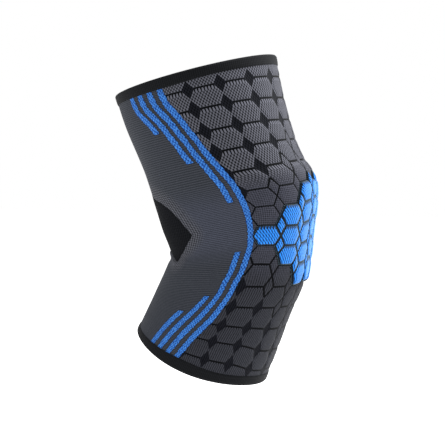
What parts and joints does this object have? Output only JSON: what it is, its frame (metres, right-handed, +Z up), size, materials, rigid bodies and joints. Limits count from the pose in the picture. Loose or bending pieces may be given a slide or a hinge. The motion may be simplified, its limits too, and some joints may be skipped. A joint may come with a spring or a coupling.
{
  "type": "patella knee support",
  "caption": "Bent, hollow knitted knee sleeve with a raised honeycomb kneecap pad, a dark panel in the hollow of the knee and a folded hem at each end.",
  "frame": {"origin": "middle of the knee joint inside the sleeve, where the leg holds it", "axes": "+Z up along the standing leg, -Y to the front of the knee, X across the knee"},
  "size_m": [0.1444, 0.1812, 0.288],
  "materials": {
    "sleeve_knit": "matte knit",
    "panel_knit": "matte knit",
    "pad_knit": "matte knit over a soft pad",
    "hem_elastic": "matte elastic band"
  },
  "bodies": {
    "root": {"sleeve": "sleeve_knit", "popliteal_panel": "panel_knit", "patella_pad": "pad_knit", "upper_hem": "hem_elastic", "lower_hem": "hem_elastic"}
  },
  "joints": []
}
